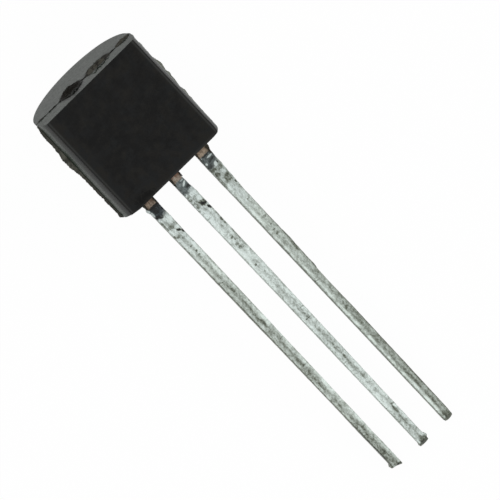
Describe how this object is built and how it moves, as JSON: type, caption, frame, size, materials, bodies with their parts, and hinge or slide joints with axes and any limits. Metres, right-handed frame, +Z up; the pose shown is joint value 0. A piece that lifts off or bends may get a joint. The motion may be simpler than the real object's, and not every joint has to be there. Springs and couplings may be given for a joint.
{
  "type": "to-92 transistor",
  "caption": "Small through-hole transistor: a black moulded case with a flat front and a half-round back, and straight tinned leads in a row.",
  "frame": {"origin": "on the floor under the part, at the centre of its bounding box", "axes": "+X along the leads, from the case's closed end to the lead tips; +Z up, with the flat face up; +Y towards the right-hand lead seen from the flat side with the leads down"},
  "size_m": [0.0182, 0.0048, 0.004],
  "materials": {
    "moulding_compound": "black epoxy compound, fine dull grain",
    "tinned_lead": "copper alloy sheet, tin plated, mottled grey",
    "silicon": "polished silicon",
    "bond_layer": "matte silver-filled bond",
    "gold_wire": "bright drawn wire"
  },
  "bodies": {
    "root": {"moulded_case": "moulding_compound", "lead_left": "tinned_lead", "lead_middle": "tinned_lead", "lead_right": "tinned_lead", "die": "silicon", "die_bond": "bond_layer", "wire_left": "gold_wire", "wire_middle": "gold_wire"}
  },
  "joints": []
}
